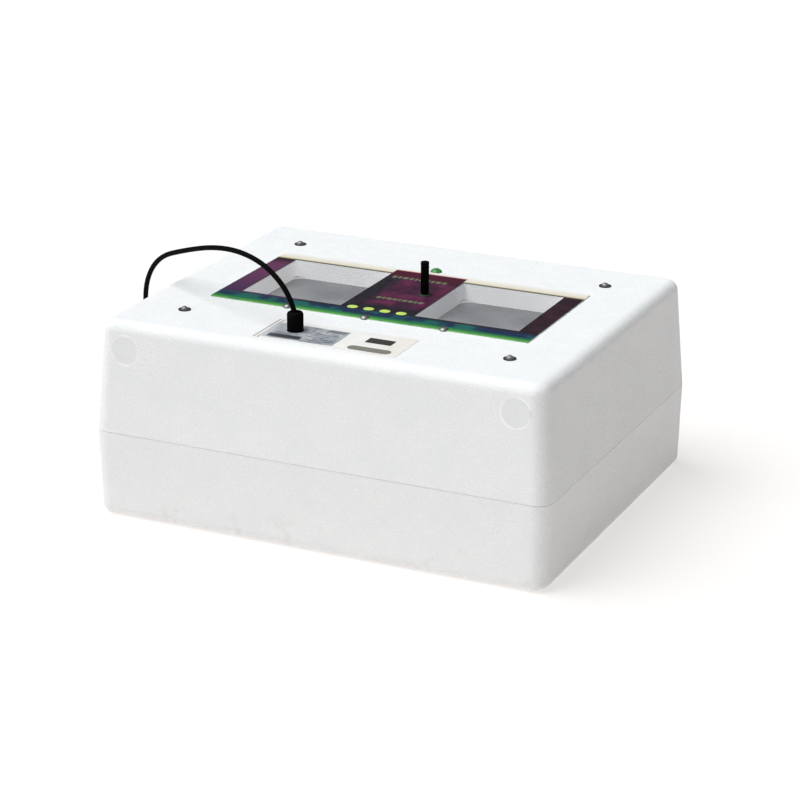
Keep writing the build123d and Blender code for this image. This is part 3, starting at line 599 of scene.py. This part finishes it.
# ---------------------------------------------------------------- thermometer
def make_thermometer_details():
    """Red spirit column in the tube, and plain scale ticks on the card."""
    y = (tube_low.y + tube_high.y) / 2
    z = (tube_low.z + tube_high.z) / 2
    column = join_parts(
        [
            round_bar((tube_low.x + 3 * MM, y, z), (tube_low.x + 10 * MM, y, z), 1.7 * MM, 16),
            round_bar((tube_low.x + 10 * MM, y, z), (tube_low.x + 62 * MM, y, z), 0.5 * MM, 12),
        ]
    )
    mesh_piece("thermometer_column", *column, "wire_floor")
    low = card_high.z
    high = low + 0.08 * MM
    ticks = []
    for i in range(29):
        length = 5 if i % 5 == 0 else 3
        x = card_low.x + (14 + 3.3 * i) * MM
        edge_y = card_low.y + 3 * MM
        centre = (x, edge_y + length / 2 * MM)
        ticks.append(rounded_slab(centre, (0.5 * MM, length * MM), low, high, 0.2 * MM, 2))
    mesh_piece("thermometer_ticks", *join_parts(ticks), "wire_floor")


# ---------------------------------------------------------------- mains lead
def coil_points():
    """Turns of the put-away lead: inwards on the table, then outwards on top, ending towards the plug."""
    outer = (coil_high.x - coil_low.x) / 2 - 0.55 * CORD_DIAMETER
    centre_x = coil_low.x + outer + 0.55 * CORD_DIAMETER
    centre_y = coil_low.y + outer + 0.55 * CORD_DIAMETER
    turns = 6
    per_turn = 16
    points = []
    for i in range(turns * per_turn + 1):
        done = i / per_turn
        layer = min(max((done - 2.4) / 1.2, 0), 1)
        rise = layer * layer * (3 - 2 * layer)
        inward = min(done, turns - done) / 2.4
        radius = outer - 2.03 * CORD_DIAMETER * min(inward, 1)
        z = CORD_DIAMETER * (0.51 + 1.01 * rise)
        angle = 2 * math.pi * done
        points.append((centre_x + radius * math.cos(angle), centre_y + radius * math.sin(angle), z))
    return points


def make_cord():
    """The lead as one smooth line from the boot to the plug, skinned as a round tube."""
    plug_x = (relief_low.x + relief_high.x) / 2
    plug_z = (relief_low.z + relief_high.z) / 2
    tail = [(plug_x, relief_low.y - 6 * MM, plug_z), (plug_x, relief_low.y + 3 * MM, plug_z)]
    route = CORD_ROUTE + coil_points() + tail
    curve = bpy.data.curves.new("cord_line", "CURVE")
    curve.dimensions = "3D"
    spline = curve.splines.new("NURBS")
    spline.points.add(len(route) - 1)
    for point, place in zip(spline.points, route):
        point.co = (*place, 1)
    spline.order_u = 3
    spline.use_endpoint_u = True
    spline.resolution_u = 8
    holder = bpy.data.objects.new("cord_line", curve)
    bpy.context.scene.collection.objects.link(holder)
    bpy.context.view_layer.update()
    line_mesh = bpy.data.meshes.new_from_object(holder)
    curve.bevel_depth = CORD_DIAMETER / 2
    curve.bevel_resolution = 5
    curve.use_fill_caps = True
    tube_mesh = bpy.data.meshes.new_from_object(holder)
    bpy.data.objects.remove(holder)
    cord = bpy.data.objects.new("mains_lead", tube_mesh)
    bpy.context.scene.collection.objects.link(cord)
    tube_mesh.polygons.foreach_set("use_smooth", [True] * len(tube_mesh.polygons))
    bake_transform(cord)
    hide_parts("cord_lead", "cord_coil")


# ---------------------------------------------------------------- stage
def make_stage():
    """A pale, faintly lit floor, a soft sun from above, the left and the front, and a dim sky."""
    scene = bpy.context.scene
    scene.view_settings.view_transform = "Standard"
    bpy.ops.mesh.primitive_plane_add(size=30, location=(0, 0, -0.0005))
    floor = bpy.context.object
    floor.name = "stage_floor"
    look = Look("stage_floor", (0.46, 0.44, 0.43), 0.9)
    look.set(Specular_IOR_Level=0.05, Emission_Color=(1, 0.98, 0.965, 1), Emission_Strength=0.55)
    floor.data.materials.append(look.material)
    sun = bpy.data.objects.new("sun", bpy.data.lights.new("sun", "SUN"))
    sun.data.energy = 3.5
    sun.data.color = (0.955, 0.985, 1.0)
    sun.data.angle = math.radians(54)
    sun.rotation_euler = Vector((0.37, 0.25, -1)).to_track_quat("-Z", "Y").to_euler()
    scene.collection.objects.link(sun)
    world = bpy.data.worlds.new("studio")
    world.use_nodes = True
    sky = world.node_tree.nodes["Background"]
    sky.inputs["Color"].default_value = (1, 1, 1, 1)
    sky.inputs["Strength"].default_value = 0.1
    scene.world = world


def make_camera():
    """The photograph's view: a long lens from the front right, a little above."""
    camera = bpy.data.objects.new("camera", bpy.data.cameras.new("camera"))
    camera.data.lens = 117.4
    camera.data.sensor_width = 36
    camera.location = (1.2116, -2.6200, 1.1496)
    aim = Vector((0.0165, -0.0290, 0.1200)) - camera.location
    roll = Quaternion((0, 0, 1), math.radians(0.253))
    camera.rotation_euler = (aim.to_track_quat("-Z", "Y") @ roll).to_euler()
    bpy.context.scene.collection.objects.link(camera)
    bpy.context.scene.camera = camera


# ---------------------------------------------------------------- build
make_camera()
make_stage()
make_print_marks()
make_wire_floor()
make_stem_thread()
make_thermometer_details()
make_cord()

rubber = plastic_look("black_rubber", (0.002, 0.002, 0.002), (0.6, 0.8), 700, 0.06, 0.04)
black_plastic = plastic_look("black_plastic", (0.002, 0.002, 0.002), (0.5, 0.7), sheen=0.05)
plated = steel_look("plated_steel", (0.78, 0.77, 0.74))
paint(foam_look(), "lid_shell", "base_shell")
paint(clear_sheet_look(), "window_panel")
paint(inner_glazing_look(), "left_inner_pane", "right_inner_pane")
paint(print_look(), "panel_print")
paint(plated, "corner_nuts", "switch_screws")
paint(steel_look("nickel_screw", (0.28, 0.28, 0.27), metallic=0.6), "panel_screws")
paint(steel_look("dulled_steel", (0.36, 0.37, 0.35), metallic=0.3), "corner_bolts")
paint(steel_look("darkened_steel", (0.075, 0.075, 0.07), metallic=0.4), "corner_washers")
paint(steel_look("galvanised_wire", (0.6, 0.61, 0.62)), "wire_mesh", "switch_bracket")
paint(steel_look("threaded_steel", (0.5, 0.5, 0.48)), "stem_thread")
paint(steel_look("pressed_sheet", (0.66, 0.63, 0.56), 120), "wafer_disc")
paint(steel_look("brass", (0.68, 0.5, 0.22)), "wafer_hub", "plug_blades")
paint(plastic_look("white_ceramic", (0.76, 0.73, 0.66), (0.45, 0.7)), "heater_insulators", "terminal_block")
paint(braid_look(), "heater_wire")
paint(plastic_look("bush_nylon", (0.03, 0.036, 0.028), (0.4, 0.6), sheen=0.25), "stem_bush", "bush_nut")
paint(black_plastic, "stem_grip", "switch_body")
paint(plastic_look("red_plastic", (0.45, 0.04, 0.03), (0.2, 0.35)), "switch_plunger", "thermometer_column")
paint(plastic_look("lamp_body", (0.6, 0.6, 0.56), (0.4, 0.6)), "lamp_body")
paint(lens_look(), "lamp_lens")
paint(plastic_look("wire_insulation", (0.66, 0.63, 0.55), (0.4, 0.55)), "switch_leads", "lamp_leads")
paint(paper_look("cream_label", (0.92, 0.9, 0.87), (0.42, 0.34, 0.33), edge_line=True), "instruction_label")
paint(rating_plate_look(), "rating_plate")
paint(paper_look("dark_label", (0.045, 0.038, 0.034), (0, 0, 0)), "label_strip", "thermometer_ticks")
paint(paper_look("olive_label", (0.235, 0.228, 0.195), (0, 0, 0)), "oval_label")
paint(paper_look("white_card", (0.84, 0.84, 0.8), (0, 0, 0)), "thermometer_card")
paint(glass_look(), "thermometer_tube")
paint(rubber, "cord_boot", "mains_lead", "plug_relief", "plug_body")
paint(paper_look("olive_print", (0.16, 0.165, 0.105), (0, 0, 0)), "print_bars")
paint(plastic_look("lime_print", (0.52, 0.68, 0.13), (0.35, 0.5)), "print_dots")
